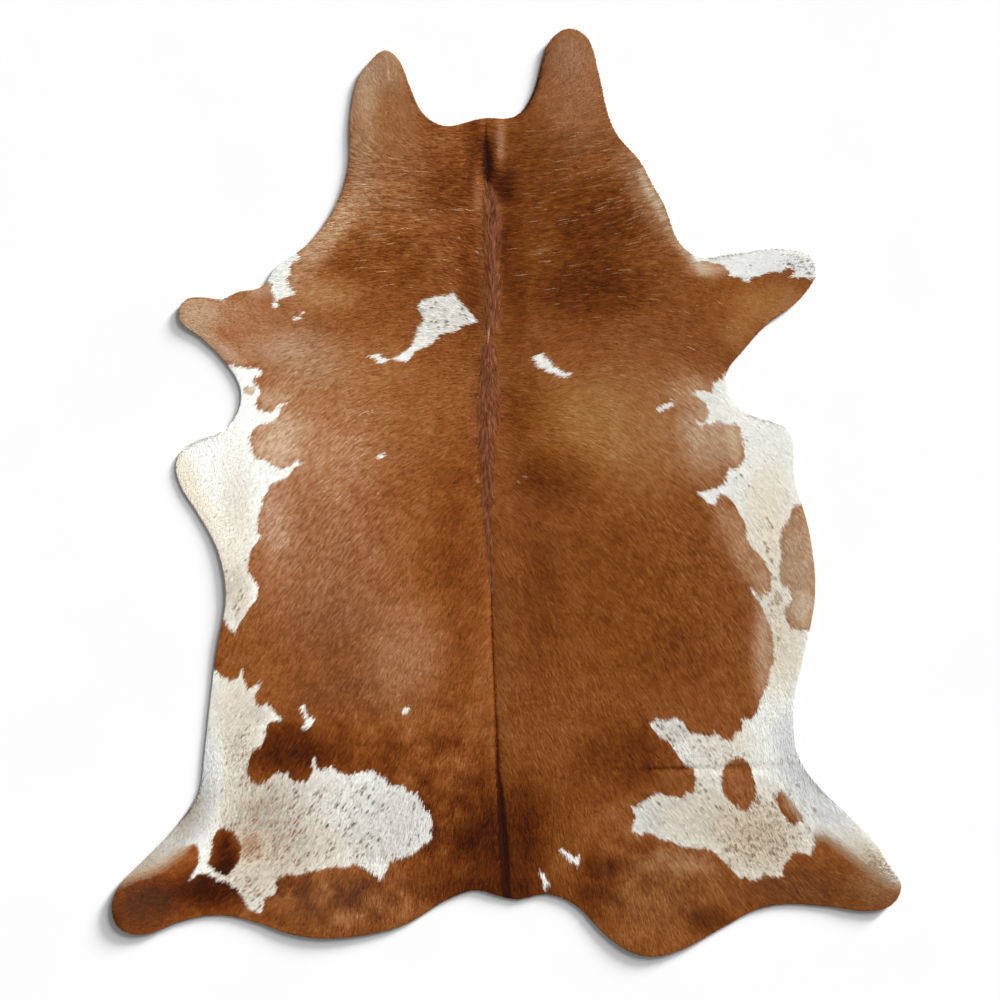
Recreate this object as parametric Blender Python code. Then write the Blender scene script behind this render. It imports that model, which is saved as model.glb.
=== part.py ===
"""Cowhide rug lying flat: one hide, hair side up, cut round the neck, four legs and rump.

Metres, +Z up, +Y towards the neck. The origin is on the floor, under the middle of the
rug's box. The tables are in millimetres from the middle of the hide.
"""

import math
from collections import namedtuple

import bmesh
import bpy
from mathutils import Vector, geometry, kdtree

MM = 0.001

# Thickness of the hide: leather, and the hair lying on it.
LEATHER_BACK = 2.4 * MM
LEATHER_FLANK = 1.6 * MM
BACK_REACH = 620 * MM  # from the spine to where the leather is down to its flank thickness
LYING_HAIR = 2.4 * MM

# Fineness of the surface.
LONGEST_STEP = 34 * MM  # along the outline
WIDEST_BEND = math.radians(12)  # between two steps of the outline
HANDLE_SHARE = 0.36  # of a span of the outline, for the handles of its curve
TOP_PITCH = 38 * MM
UNDERSIDE_PITCH = 70 * MM
FEATURE_STEP = 27 * MM  # along the spine and the creases
CLEARANCE_SHARE = 0.55  # of the pitch, kept free round the points already placed

# The outline, clockwise seen from above. Columns: x_mm to the right, y_mm to the neck.
OUTLINE = {
    "left neck lobe": (
        (-429, 605), (-362, 761), (-362, 846), (-316, 991),
        (-277, 1018), (-245, 994), (-227, 950), (-174, 858),
    ),
    "neck edge": ((-132, 844), (-91, 854), (-52, 864), (17, 865)),
    "right neck lobe": (
        (63, 927), (79, 989), (102, 1044), (148, 1068), (190, 1042), (208, 982),
    ),
    "right shoulder": (
        (261, 814), (307, 766), (335, 711), (367, 656), (385, 598), (422, 552),
    ),
    "right foreleg": (
        (534, 555), (641, 564), (691, 551), (714, 515),
        (696, 473), (583, 374), (541, 324),
    ),
    "right armpit": (
        (508, 281), (509, 246), (534, 199), (583, 175),
        (634, 159), (661, 122), (661, 64),
    ),
    "right flank": ((700, -108), (710, -228), (693, -338), (661, -527), (673, -607)),
    "right hind leg": (
        (726, -679), (790, -741), (850, -803), (877, -851), (907, -899),
        (882, -948), (831, -960), (744, -950), (588, -952),
    ),
    "right rump": (
        (491, -1001), (399, -1050), (335, -1066), (215, -1005), (171, -955), (91, -920),
    ),
    "tail edge": ((20, -934), (-26, -923), (-72, -911), (-118, -925)),
    "left rump": ((-245, -996), (-325, -1015), (-498, -1013), (-572, -987), (-659, -969)),
    "left hind leg": (
        (-751, -984), (-843, -1015), (-891, -998), (-907, -954),
        (-894, -908), (-831, -840), (-749, -752), (-705, -681),
    ),
    "left flank": (
        (-697, -614), (-667, -361), (-645, -223), (-664, -131),
        (-714, -39), (-753, 25), (-760, 71),
    ),
    "left armpit": (
        (-730, 115), (-652, 145), (-618, 186), (-613, 248), (-646, 300), (-700, 356),
    ),
    "left foreleg": (
        (-753, 405), (-742, 442), (-693, 451), (-657, 446), (-613, 466), (-567, 471),
    ),
    "left shoulder": ((-525, 529), (-473, 559)),
}

# The rim in section, from the underside up and inwards.
RimRow = namedtuple("RimRow", "inset_mm share_of_thickness")
RIM = {
    "flesh side": RimRow(2.5, 0.0),
    "cut edge and hair tips": RimRow(0.0, 0.45),
    "hair shoulder": RimRow(2.5, 0.85),
    "full hair": RimRow(11.0, 1.0),
}

# Along the spine the hair meets in a low mane, and beyond it parts in a groove.
SpineRow = namedtuple("SpineRow", "y_mm x_mm half_width_mm height_mm")
SPINE = (
    SpineRow(862, -49, 12, -0.8),
    SpineRow(708, -47, 14, -0.6),
    SpineRow(640, -42, 20, 0.6),
    SpineRow(536, -36, 22, 1.4),
    SpineRow(359, -41, 28, 1.7),
    SpineRow(168, -41, 32, 1.6),
    SpineRow(-16, -40, 28, 1.2),
    SpineRow(-108, -38, 18, 0.3),
    SpineRow(-246, -34, 12, -0.8),
    SpineRow(-497, -25, 12, -0.8),
    SpineRow(-715, -13, 15, -1.0),
    SpineRow(-925, 3, 13, -0.7),
)

# Growth wrinkles across the neck, and the soft fold across the right hind leg.
CreaseRow = namedtuple("CreaseRow", "x0_mm y0_mm x1_mm y1_mm half_width_mm height_mm")
CREASES = (
    CreaseRow(-340, 724, -120, 716, 12, -0.7),
    CreaseRow(-350, 685, -110, 674, 12, 0.7),
    CreaseRow(-370, 646, -120, 637, 12, -0.7),
    CreaseRow(-380, 607, -130, 600, 12, 0.6),
    CreaseRow(30, 806, 236, 842, 12, 0.7),
    CreaseRow(30, 756, 262, 792, 12, -0.7),
    CreaseRow(34, 704, 300, 748, 12, 0.8),
    CreaseRow(34, 655, 322, 700, 12, -0.8),
    CreaseRow(38, 606, 344, 650, 12, 0.7),
    CreaseRow(40, 562, 356, 600, 12, -0.6),
    CreaseRow(325, -631, 640, -631, 11, -1.2),
)

# Where the rug stands a little off the floor at its edge.
LiftRow = namedtuple("LiftRow", "x_mm y_mm reach_mm lift_mm")
LIFTS = {
    "left neck lobe": LiftRow(-277, 1035, 150, 3.0),
    "right neck lobe": LiftRow(148, 1085, 160, 4.0),
    "right foreleg": LiftRow(735, 520, 200, 4.0),
    "left foreleg": LiftRow(-775, 430, 170, 3.0),
    "right hind leg": LiftRow(925, -905, 230, 5.0),
    "left hind leg": LiftRow(-925, -965, 240, 5.0),
    "right flank": LiftRow(730, -230, 230, 3.0),
    "left flank": LiftRow(-665, -240, 200, 2.5),
    "right rump": LiftRow(335, -1085, 220, 3.0),
    "left rump": LiftRow(-411, -1045, 240, 3.0),
}

HAIR_BROWN = (0.30, 0.105, 0.032, 1.0)
HAIR_ROUGHNESS = 0.7


def clear_scene():
    for thing in list(bpy.data.objects):
        bpy.data.objects.remove(thing, do_unlink=True)


def swell(distance, reach):
    """1 at the middle, easing to exactly 0 at the reach and beyond."""
    nearness = max(0.0, 1.0 - (distance / reach) ** 2)
    return nearness * nearness


def point_mm(x_mm, y_mm):
    return Vector((x_mm * MM, y_mm * MM))


# ---- outline ----

def tangent_at(before, knot, after):
    """The direction at a knot of the circle through it and its neighbours."""
    arriving = knot - before
    leaving = after - knot
    blend = arriving * (leaving.length / arriving.length)
    blend += leaving * (arriving.length / leaving.length)
    return blend.normalized()


def outline_points():
    """The closed outline as points, closer together where it bends."""
    knots = [point_mm(*row) for rows in OUTLINE.values() for row in rows]
    count = len(knots)
    tangents = [
        tangent_at(knots[i - 1], knots[i], knots[(i + 1) % count]) for i in range(count)
    ]
    points = []
    for i, start in enumerate(knots):
        j = (i + 1) % count
        end = knots[j]
        span = (end - start).length
        bend = tangents[i].angle(tangents[j])
        steps = max(math.ceil(span / LONGEST_STEP), math.ceil(bend / WIDEST_BEND))
        handle = span * HANDLE_SHARE
        points += geometry.interpolate_bezier(
            start, start + tangents[i] * handle, end - tangents[j] * handle, end, steps + 1
        )[:-1]
    return points


def inset_points(points, inset):
    """The clockwise outline moved inwards, square to its own direction."""
    moved = []
    for i, point in enumerate(points):
        along = points[(i + 1) % len(points)] - points[i - 1]
        moved.append(point + Vector((along.y, -along.x)).normalized() * inset)
    return moved


# ---- thickness and relief ----

def spine_at(y):
    """The spine's centre, half width and height at this y, eased between its rows."""
    y_mm = min(max(y / MM, SPINE[-1].y_mm), SPINE[0].y_mm)
    for upper, lower in zip(SPINE, SPINE[1:]):
        if y_mm >= lower.y_mm:
            break
    share = (upper.y_mm - y_mm) / (upper.y_mm - lower.y_mm)
    share = share * share * (3 - 2 * share)
    return [(a + (b - a) * share) * MM for a, b in zip(upper[1:], lower[1:])]


def crease_offset(point, row):
    """How far along a crease a point lies, from 0 to 1, and how far from it."""
    start = point_mm(row.x0_mm, row.y0_mm)
    end = point_mm(row.x1_mm, row.y1_mm)
    nearest, along = geometry.intersect_point_line(point, start, end)
    return along, (point - nearest.xy).length


def thickness(point):
    """Leather and lying hair, with the mane, the parting and the creases."""
    centre, half_width, height = spine_at(point.y)
    off_spine = abs(point.x - centre)
    back = swell(off_spine, BACK_REACH)
    total = LEATHER_FLANK + (LEATHER_BACK - LEATHER_FLANK) * back + LYING_HAIR
    total += height * swell(off_spine, half_width)
    for row in CREASES:
        along, off = crease_offset(point, row)
        if 0 < along < 1:
            fading = math.sin(math.pi * along)
            total += row.height_mm * MM * fading * swell(off, row.half_width_mm * MM)
    return total


def lift(point):
    """Height of the underside over the floor."""
    return max(
        row.lift_mm * MM * swell((point - point_mm(row.x_mm, row.y_mm)).length, row.reach_mm * MM)
        for row in LIFTS.values()
    )


# ---- points of the surfaces ----

def spine_points():
    """Rows of points across the mane and the parting, down the whole spine."""
    points = []
    stations = int((SPINE[0].y_mm - SPINE[-1].y_mm) * MM / FEATURE_STEP)
    for station in range(stations + 1):
        y = SPINE[0].y_mm * MM - station * FEATURE_STEP
        centre, half_width, _ = spine_at(y)
        points += [Vector((centre + half_width * k, y)) for k in (-1, -0.45, 0, 0.45, 1)]
    return points


def crease_points():
    """Three lines of points along each crease: its two sides and its bottom or crest."""
    points = []
    for row in CREASES:
        start = point_mm(row.x0_mm, row.y0_mm)
        run = point_mm(row.x1_mm, row.y1_mm) - start
        aside = Vector((-run.y, run.x)).normalized() * row.half_width_mm * MM
        steps = int(run.length / FEATURE_STEP)
        points += [start + run * (k / steps) + aside * side
                   for k in range(steps + 1) for side in (-1, 0, 1)]
    return points


def crossings(ring, y):
    """Where the line at this y enters and leaves the ring, from left to right."""
    found = []
    for a, b in zip(ring, ring[1:] + ring[:1]):
        if (a.y > y) != (b.y > y):
            found.append(a.x + (b.x - a.x) * (y - a.y) / (b.y - a.y))
    return sorted(found)


def lattice_points(ring, pitch):
    """A triangular lattice of points inside the ring."""
    points = []
    row_height = pitch * math.sqrt(3) / 2
    lowest = min(point.y for point in ring)
    highest = max(point.y for point in ring)
    for row in range(1, int((highest - lowest) / row_height) + 1):
        y = lowest + row * row_height
        shift = pitch / 2 if row % 2 else 0.0
        ends = crossings(ring, y)
        for left, right in zip(ends[::2], ends[1::2]):
            first = math.ceil((left - shift) / pitch)
            last = math.floor((right - shift) / pitch)
            points += [Vector((k * pitch + shift, y)) for k in range(first, last + 1)]
    return points


def inside(point, ring):
    return sum(x < point.x for x in crossings(ring, point.y)) % 2 == 1


def clear_of(placed, candidates, clearance):
    """The candidates that keep this far from every point already placed."""
    tree = kdtree.KDTree(len(placed))
    for index, point in enumerate(placed):
        tree.insert(point.to_3d(), index)
    tree.balance()
    return [point for point in candidates if tree.find(point.to_3d())[2] > clearance]


def surface_points(ring, pitch, features):
    """Points inside the ring: those of the features, then the lattice round them."""
    clearance = pitch * CLEARANCE_SHARE
    within = [point for point in features if inside(point, ring)]
    kept = clear_of(ring, within, clearance / 2)
    return kept + clear_of(ring + kept, lattice_points(ring, pitch), clearance)


# ---- the hide ----

def add_ring(mesh, outline, row):
    ring = []
    for edge, point in zip(outline, inset_points(outline, row.inset_mm * MM)):
        height = lift(edge) + thickness(point) * row.share_of_thickness
        ring.append(mesh.verts.new((point.x, point.y, height)))
    return ring


def bridge(mesh, lower, upper):
    for i in range(len(lower)):
        j = (i + 1) % len(lower)
        mesh.faces.new((lower[i], upper[i], upper[j]))
        mesh.faces.new((lower[i], upper[j], lower[j]))


def fill(mesh, ring, points, height_at):
    """Closes a ring with triangles through the points, raised to their height."""
    flat_ring = [vert.co.xy for vert in ring]
    verts = ring + [mesh.verts.new((p.x, p.y, height_at(p))) for p in points]
    border = [list(range(len(ring)))]
    within_border = 1
    result = geometry.delaunay_2d_cdt(flat_ring + points, [], border, within_border, 1e-7)
    sources = [origin[0] for origin in result[3]]
    for triangle in result[2]:
        mesh.faces.new([verts[sources[corner]] for corner in triangle])


def centre_on_origin(mesh):
    xs = [vert.co.x for vert in mesh.verts]
    ys = [vert.co.y for vert in mesh.verts]
    middle = Vector(((min(xs) + max(xs)) / 2, (min(ys) + max(ys)) / 2, 0))
    bmesh.ops.translate(mesh, verts=mesh.verts, vec=-middle)


def hide_mesh():
    mesh = bmesh.new()
    outline = outline_points()
    rings = [add_ring(mesh, outline, row) for row in RIM.values()]
    for lower, upper in zip(rings, rings[1:]):
        bridge(mesh, lower, upper)

    top_ring = [vert.co.xy for vert in rings[-1]]
    top = surface_points(top_ring, TOP_PITCH, spine_points() + crease_points())
    fill(mesh, rings[-1], top, lambda p: lift(p) + thickness(p))

    underside_ring = [vert.co.xy for vert in rings[0]]
    fill(mesh, rings[0], surface_points(underside_ring, UNDERSIDE_PITCH, []), lift)

    centre_on_origin(mesh)
    bmesh.ops.recalc_face_normals(mesh, faces=mesh.faces)
    return mesh


def hair_material():
    material = bpy.data.materials.new("brown_and_white_hair")
    material.use_nodes = True
    shader = material.node_tree.nodes["Principled BSDF"]
    shader.inputs["Base Color"].default_value = HAIR_BROWN
    shader.inputs["Roughness"].default_value = HAIR_ROUGHNESS
    shader.inputs["Metallic"].default_value = 0.0
    return material


def make_hide():
    data = bpy.data.meshes.new("hide")
    mesh = hide_mesh()
    mesh.to_mesh(data)
    mesh.free()
    data.materials.append(hair_material())
    data.shade_smooth()
    data.set_sharp_from_angle(angle=math.radians(40))
    hide = bpy.data.objects.new("hide", data)
    bpy.context.scene.collection.objects.link(hide)
    return hide


clear_scene()
make_hide()
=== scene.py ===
import math

import bmesh
import bpy
import numpy as np
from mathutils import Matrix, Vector
from mathutils.bvhtree import BVHTree


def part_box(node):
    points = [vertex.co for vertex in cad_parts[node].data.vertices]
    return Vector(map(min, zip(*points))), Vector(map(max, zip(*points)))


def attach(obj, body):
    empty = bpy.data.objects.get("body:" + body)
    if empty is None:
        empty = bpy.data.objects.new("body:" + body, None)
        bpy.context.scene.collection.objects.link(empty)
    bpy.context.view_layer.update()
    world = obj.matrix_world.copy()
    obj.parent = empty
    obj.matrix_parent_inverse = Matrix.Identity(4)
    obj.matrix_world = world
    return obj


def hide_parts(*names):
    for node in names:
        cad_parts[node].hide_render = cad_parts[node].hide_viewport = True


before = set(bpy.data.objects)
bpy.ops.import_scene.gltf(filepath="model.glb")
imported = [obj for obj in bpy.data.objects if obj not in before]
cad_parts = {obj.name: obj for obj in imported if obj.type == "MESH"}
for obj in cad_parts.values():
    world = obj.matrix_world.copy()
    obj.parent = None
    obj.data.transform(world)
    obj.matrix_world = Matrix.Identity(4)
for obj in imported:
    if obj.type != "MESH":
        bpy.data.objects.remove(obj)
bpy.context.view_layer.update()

print("frame loaded")

mm = 0.001
hideLow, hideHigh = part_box("hide")

# The chart below is read in pixels of the photograph, x to the right and y down.
chart = {
    "hideWidth": 789.0,                        # pixels across the hide, which gives the scale
    "middle": (506.5, 493.0),                  # the pixel over the origin
}
pixel = (hideHigh.x - hideLow.x) / chart["hideWidth"]      # metres of rug under one pixel


def onRug(points):
    spots = np.asarray(points, float).reshape(-1, 2)
    return (spots - chart["middle"]) * (pixel, -pixel)


def onChart(places):
    return places[:, :2] / (pixel, -pixel) + chart["middle"]


# ---- nodes: sockets with arithmetic, for shaders and for geometry ----

class Wire:                                    # one output socket
    def __init__(self, bench, socket):
        self.bench = bench
        self.socket = socket

    def math(self, operation, *values):
        return self.bench.node("ShaderNodeMath", {"operation": operation}, dict(enumerate(values)))

    def __add__(self, other):
        return self.math("ADD", self, other)

    def __sub__(self, other):
        return self.math("SUBTRACT", self, other)

    def __rsub__(self, other):
        return self.math("SUBTRACT", other, self)

    def __mul__(self, other):
        return self.math("MULTIPLY", self, other)

    def __gt__(self, other):
        return self.math("GREATER_THAN", self, other)

    __radd__ = __add__
    __rmul__ = __mul__


class Bench:                                   # a node tree being built
    def __init__(self, tree):
        self.tree = tree

    def node(self, kind, settings=None, inputs=None, output=0):
        made = self.tree.nodes.new(kind)
        for name, value in (settings or {}).items():
            if name == "stops":
                self.setStops(made.color_ramp, value)
            else:
                setattr(made, name, value)
        for key, value in (inputs or {}).items():
            if isinstance(value, Wire):
                self.tree.links.new(value.socket, made.inputs[key])
            elif value is not None:
                made.inputs[key].default_value = value
        return Wire(self, made.outputs[output]) if len(made.outputs) else made

    def setStops(self, ramp, stops):
        while len(ramp.elements) < len(stops):
            ramp.elements.new(1.0)
        for element, (at, colour) in zip(ramp.elements, stops):
            element.position = at
            element.color = colour

    def attribute(self, name, output="Fac"):
        return self.node("ShaderNodeAttribute", {"attribute_name": name}, output=output)

    def parts(self, vector):
        split = self.tree.nodes.new("ShaderNodeSeparateXYZ")
        self.tree.links.new(vector.socket, split.inputs[0])
        return [Wire(self, out) for out in split.outputs]

    def between(self, share, first, second, how="MIX"):
        settings = {"data_type": "RGBA", "blend_type": how, "clamp_factor": True}
        return self.node("ShaderNodeMix", settings, {0: share, 6: first, 7: second}, 2)

    def noise(self, scale, detail, vector, output="Fac"):
        inputs = {"Vector": vector, "Scale": scale, "Detail": detail}
        return self.node("ShaderNodeTexNoise", {}, inputs, output)

    def place(self):                           # the spot on the piece, in metres
        return self.node("ShaderNodeTexCoord", output="Object")


def paint(red, green, blue):                   # a colour named as on a screen, 0 to 255
    levels = [channel / 255 for channel in (red, green, blue)]
    linear = [level / 12.92 if level <= 0.04045 else ((level + 0.055) / 1.055) ** 2.4 for level in levels]
    return (*linear, 1.0)


# ---- the chart of the coat ----

# White areas. One that reaches the rug's edge is closed outside it.
whiteAreas = {
    "left shoulder": [
        (299, 255), (297, 260), (292, 264), (290, 268), (290.5, 272), (288, 276), (286, 280), (289, 286),
        (291, 290), (295, 292), (294.5, 295), (286, 297), (281, 298.5), (277, 300.5), (278, 307), (274, 308),
        (272, 306), (275, 300), (272, 294), (270, 290), (271, 286), (269, 283), (258, 276), (290, 242),
    ],
    "left foreleg notch": [(216, 294), (227, 294), (225, 299), (219, 301)],
    "left armpit and flank": [
        (235, 366), (240, 367), (245, 368.5), (250, 369), (256, 368), (260, 371), (262.5, 373), (261, 376),
        (254, 376.5), (253.5, 382), (256, 385), (260, 390), (260, 394), (256, 402), (256, 406), (257, 409),
        (262, 411.5), (268, 413), (272, 412), (275, 408), (280, 404.5), (287.5, 403), (283, 406), (281, 409),
        (279.5, 412), (279, 415), (277, 418), (272, 421), (269, 423), (261, 424.5), (256, 427), (252, 431),
        (250, 435), (249, 439), (250, 443), (251, 447), (253, 450), (252, 453), (254, 456), (258, 459),
        (263, 460), (268, 461.5), (271, 464), (274, 467), (278, 469), (284, 468.5), (290, 466.5), (295, 462),
        (298, 459), (302, 463), (299, 465), (295, 467), (292, 471), (289, 475), (287, 478), (281, 480),
        (275, 482), (271, 484), (268, 490), (265, 496), (262, 500), (262, 506), (260, 511), (259, 518),
        (258, 524), (257, 531), (259, 535), (261, 537), (258, 541), (254, 546), (251, 551), (250, 557),
        (249, 563), (247.5, 569), (249, 574), (253, 577), (254, 581), (257, 586), (259.5, 589), (258, 594),
        (256, 600), (253, 605), (250, 607), (247, 611), (244, 617), (241, 622), (238, 626), (236, 635),
        (234, 631), (230, 629), (227, 624), (225, 620), (200, 618), (140, 560), (140, 366),
    ],
    "left rump": [
        (214, 669), (217, 671), (220, 675), (224, 678), (230, 680), (236, 679.5), (239, 676), (241, 671),
        (244, 668.5), (243, 677), (244, 682), (246, 686), (248, 689), (252, 688), (257, 684.5), (262, 682.5),
        (260, 687), (257, 691), (255, 696), (255, 701), (257, 705), (261, 706), (265, 704), (270, 706),
        (273, 709), (276, 713), (284, 719.5), (273, 721), (269, 723), (267, 727), (266, 732), (265, 737),
        (262, 745), (254, 750), (250, 757), (248, 765), (246, 772), (249, 777), (252, 781), (259, 784),
        (265, 783), (270, 778), (275, 773), (283, 774), (288, 774), (290, 778), (294, 781), (302, 782),
        (307, 781), (311, 774), (314, 771), (312, 765), (313, 755), (316, 763), (318, 769), (320, 770),
        (326, 769), (333, 766), (336, 770), (340, 773), (350, 774.5), (356, 773.5), (362, 771), (368, 771),
        (374, 770), (376, 774), (382, 776), (386, 780), (388, 784), (395, 785), (402, 785), (406, 790),
        (413, 792), (417, 796), (422, 801), (424, 807), (429, 813), (432, 820), (433, 826), (430, 832),
        (433, 838), (430, 841), (424, 845), (418, 850), (411, 855), (403, 858), (395, 859), (389, 864),
        (386, 872), (383, 877), (379, 880), (376, 875), (370, 872), (362, 866), (355, 864), (350, 866),
        (343, 867), (335, 866), (328, 867), (322, 870), (314, 870), (305, 873), (300, 875), (290, 874),
        (283, 875), (278, 879), (275, 884), (277, 888), (274, 895), (268, 896), (264, 900), (262, 911),
        (260.5, 913), (254, 911), (249, 908), (245, 902), (243, 896), (238, 890), (232, 886), (226, 882),
        (218, 880), (212, 876), (205, 873), (199, 873), (194, 877), (189, 881), (192, 875), (196, 868),
        (199, 861), (200, 853), (198, 847), (195, 844), (191, 845), (186, 849), (180, 852), (172, 858),
        (165, 863), (157, 868), (150, 871), (140, 874), (130, 877), (118, 884), (100, 876), (140, 760),
        (196, 668),
    ],
    "right foreleg": [
        (693, 258), (694, 262), (700, 261.5), (706, 261), (711, 263), (718, 263.5), (723, 265), (726, 268),
        (729, 269.5), (730, 275), (733, 277), (738, 277), (742, 278), (744, 281), (747, 282), (751, 281.5),
        (754, 277), (761, 276.5), (765, 274), (770, 272), (776, 272), (781, 273), (784, 270.5), (788, 268.5),
        (793, 268.5), (795, 271), (795, 274), (791, 275.5), (787, 277.5), (795, 277), (800, 277), (805, 278),
        (810, 278.5), (815, 277.5), (830, 276), (826, 236), (690, 244),
    ],
    "right side": [
        (728, 372), (724, 376), (722, 379), (718, 381), (714, 384), (712, 387), (714, 389), (712, 392),
        (709, 393), (706, 391), (700, 391), (691, 392), (698, 397), (703, 401), (707, 405), (709, 409),
        (709, 414), (708, 418), (706, 422), (697, 423), (700, 427), (706, 423.5), (710, 425), (714, 423),
        (718, 421), (723, 422), (727, 425), (731, 425), (736, 423.5), (739, 426), (741, 432), (743, 439),
        (744.5, 447), (745, 454), (743.5, 461), (741, 467), (736, 468.5), (731, 469), (728, 471), (727, 476),
        (725, 481), (723, 486), (718, 487), (713, 489), (708, 491), (703, 492), (696.5, 492), (700, 496),
        (705, 500), (708, 504), (712, 504), (715, 506), (717, 499), (718, 496), (721, 494), (726, 495),
        (730, 498), (733, 502), (736, 508), (738, 513), (741, 516), (744, 521), (746, 528), (747, 535),
        (748, 541), (751, 547), (756, 552), (761, 557), (764, 562), (767, 567), (770, 573), (772, 579),
        (771, 585), (769, 590), (766, 594), (762, 598), (758, 596), (755, 592), (750.5, 586), (752, 593),
        (755, 598), (759, 602), (762, 608), (764, 613), (767, 619), (770, 626), (772, 632), (773.5, 638),
        (774, 650), (773, 656), (776, 658), (773, 664), (770, 669), (769, 676), (768, 684), (765, 690),
        (762, 696), (760, 703), (757, 710), (754, 716), (751, 720), (745, 720), (741, 719), (743, 724),
        (742, 727), (739, 733), (734, 734), (733, 738), (729, 741), (724, 740), (720, 736), (716, 733),
        (710, 736), (705, 736), (700, 733), (692, 734), (690, 733), (687, 730), (685, 725), (682, 721),
        (678, 719), (668, 721), (660, 719), (656, 721), (649, 723.5), (651, 727), (654, 730), (657, 734),
        (661, 738), (667, 740), (671, 744), (674, 750), (680, 759), (686, 765), (693, 768), (695, 777),
        (696, 785), (694, 794), (687, 793), (683, 799), (675, 797), (668, 796), (662, 794), (658, 792),
        (653, 795), (648, 799), (643, 803), (637, 804), (632, 808), (634, 813), (636, 817), (633, 822),
        (634, 826), (631, 831), (636, 833), (641, 835), (647, 832), (652, 834), (657, 836), (663, 839),
        (670, 841), (676, 844), (683, 847), (690, 847), (700, 848), (708, 848), (713, 852), (718, 855),
        (722, 860), (727, 864), (731, 869), (735, 873), (739, 878), (744, 876), (748, 879), (752, 882),
        (756, 880), (761, 877), (767, 876), (772, 875), (778, 878), (783, 876), (783, 868), (786, 861),
        (790, 858), (792, 853), (800, 853), (805, 853), (810, 856), (812, 849), (815, 846), (815, 838),
        (817, 832), (818, 830), (825, 837), (835, 842), (845, 850), (855, 857), (862, 863), (875, 872),
        (885, 880), (893, 885), (930, 886), (930, 420), (760, 362),
    ],
    "blaze": [
        (419, 302), (431, 298), (443, 295), (452, 294), (454, 291.5), (457, 299), (464, 304.5), (468, 310),
        (478, 321.5), (465, 325), (453, 332), (445.5, 333), (437.5, 337), (432, 344), (422, 348), (413, 354),
        (407.5, 362), (401, 361), (393, 359), (381, 364), (375, 359), (368, 356), (376, 354), (385, 358.5),
        (396, 357.5), (407.5, 350), (414, 341), (418, 329), (424.5, 319), (419, 308.5),
    ],
    "right of the withers": [
        (532, 358), (543.5, 353), (545, 357), (550, 362), (560.5, 371), (571, 374), (566, 378.5),
        (559.5, 376), (546, 371), (537, 366),
    ],
    "shoulder fleck": [(293, 317), (299, 316.5), (304, 311), (301, 319), (296, 321.5)],
    "flank fleck": [(376, 456), (381, 453.5), (387, 456), (380, 459)],
    "hourglass": [
        (299, 708), (304, 705), (306, 712), (309, 716), (314, 720), (312, 727), (301, 728), (305, 724),
        (305, 718), (302, 713),
    ],
    "loin fleck": [(402, 709), (407, 706.5), (410, 710), (406, 714), (403, 713)],
    "bow tie": [
        (559, 850), (563, 849), (568, 854), (575, 856), (580, 857), (580, 860), (578, 866), (575, 865),
        (570, 861), (565, 856),
    ],
    "tail fleck": [
        (539, 869), (541, 870), (545, 876), (547, 881), (551, 883), (547, 885), (546, 889), (543, 888),
        (543, 880), (540, 875),
    ],
    "armpit streak": [(677, 400), (670, 401.5), (660, 407), (655, 412), (661, 412), (670, 407)],
}

# Brown islands, each inside a white area.
brownIslands = {
    "left rump": [
        (224, 827), (230, 829), (235, 833), (238, 838), (241, 843), (241, 852), (240, 861), (236, 866),
        (231, 872), (228, 876), (222, 874), (217, 873), (212, 868), (208, 864), (210, 855), (212, 845),
        (213, 838), (217, 831),
    ],
    "right rump": [
        (736, 757), (742, 758), (747, 761), (750, 766), (752, 771), (753, 777), (755, 783), (755, 789),
        (756, 794), (755, 800), (751, 804), (749, 808), (746, 811), (741, 809), (738, 806), (733, 804),
        (729, 800), (724, 795), (722, 790), (721, 783), (721, 776), (723, 770), (726, 764), (731, 760),
    ],
    "right thigh": [
        (781, 790), (784, 794), (788, 799), (793, 805), (797, 811), (801, 816), (803, 820), (802, 823),
        (798, 822), (795, 825), (790, 822), (785, 817), (781, 812), (778, 806), (776, 799), (779, 793),
    ],
    "right belly": [
        (801, 503), (797, 505), (793, 507), (791, 511), (790, 518), (788, 522), (784, 526), (782, 531),
        (781, 538), (780, 545), (782, 552), (782, 560), (780, 566), (780, 574), (781, 582), (785, 586),
        (789, 589), (790, 595), (792, 599), (789, 604), (786, 609), (785, 616), (787, 622), (790, 626),
        (795, 629), (800, 631), (840, 631), (840, 500),
    ],
    "belly fleck": [
        (777, 592), (780, 594), (781, 599), (779.5, 604), (776.5, 605), (774.5, 601), (774.5, 595.5),
    ],
    "armpit fleck": [
        (244, 389), (247, 386.5), (251, 386), (254, 388), (255, 391), (252, 394), (248, 394), (245, 392),
    ],
}

# Borders where one colour fades into the other. Each line has its reach to either side.
softBorders = {
    "left hock": (9, [(178, 853), (165, 863), (150, 871), (130, 878), (112, 887)]),
    "left foreleg root": (4, [(264, 283), (270, 297)]),
    "armpit fleck": (2.5, [(246, 390), (253, 391)]),
    "belly fleck": (2.5, [(777.5, 595), (777.5, 602)]),
    "right hock": (10, [(824, 832), (845, 848), (865, 864), (885, 878), (902, 888)]),
    "right thigh": (3.5, [(784, 794), (793, 805), (801, 815)]),
    "right belly": (2.5, [(782, 531), (780, 560), (782, 585), (786, 612)]),
}


def lineGap(places, line):                     # from each place to a line of points
    gap = np.full(len(places), 1e9)
    for start, end in zip(line[:-1], line[1:]):
        run = end - start
        along = np.clip((places - start) @ run / (run @ run), 0, 1)
        gap = np.minimum(gap, np.hypot(*(places - start - along[:, None] * run).T))
    return gap


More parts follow.
